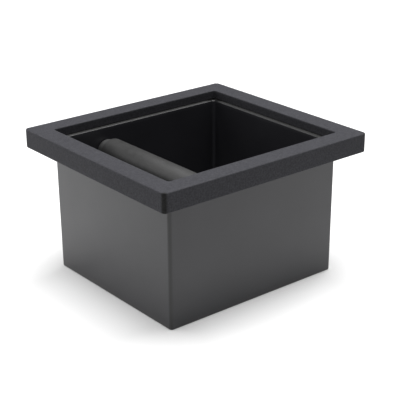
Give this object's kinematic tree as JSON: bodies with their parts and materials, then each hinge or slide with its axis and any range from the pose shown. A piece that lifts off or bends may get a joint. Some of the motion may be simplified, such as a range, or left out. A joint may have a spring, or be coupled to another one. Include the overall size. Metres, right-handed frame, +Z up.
{
  "type": "knock box",
  "caption": "Drop-in espresso knock box: a rectangular tub hung from a thick square-edged frame, with a rubber-sleeved bar across it that turns and lifts out.",
  "frame": {"origin": "centre of the tub's flat base, on the surface it stands on", "axes": "+Z up; +X to the right along the wider side; +Y to the back, along the knock bar, which lies on the -X side of the middle"},
  "size_m": [0.175, 0.1606, 0.1042],
  "materials": {
    "tub": "satin near-black moulded plastic",
    "frame": "matt fine-grained dark grey plastic",
    "sleeve": "matt black rubber",
    "grommet": "matt black rubber",
    "tube": "drawn steel tube",
    "plug": "black nylon",
    "screw": "zinc-plated steel"
  },
  "bodies": {
    "box": {"tub": "tub", "rim_frame": "frame", "frame_screw_01": "screw", "frame_screw_02": "screw", "frame_screw_03": "screw", "frame_screw_04": "screw", "frame_screw_05": "screw", "frame_screw_06": "screw", "frame_screw_07": "screw", "frame_screw_08": "screw", "frame_screw_09": "screw", "frame_screw_10": "screw", "frame_screw_11": "screw", "frame_screw_12": "screw"},
    "grommets": {"grommet_front": "grommet", "grommet_back": "grommet"},
    "bar": {"bar_sleeve": "sleeve", "bar_tube": "tube", "bar_plug_front": "plug", "bar_plug_back": "plug"}
  },
  "joints": [
    {"name": "bar_lift", "type": "slide", "parent": "box", "child": "grommets", "axis": [0, 0, 1], "range_m": [0, 0.05]},
    {"name": "bar_turn", "type": "hinge", "parent": "grommets", "child": "bar", "pos_m": [-0.032, 0, 0.0808], "axis": [0, 1, 0], "continuous": true}
  ]
}
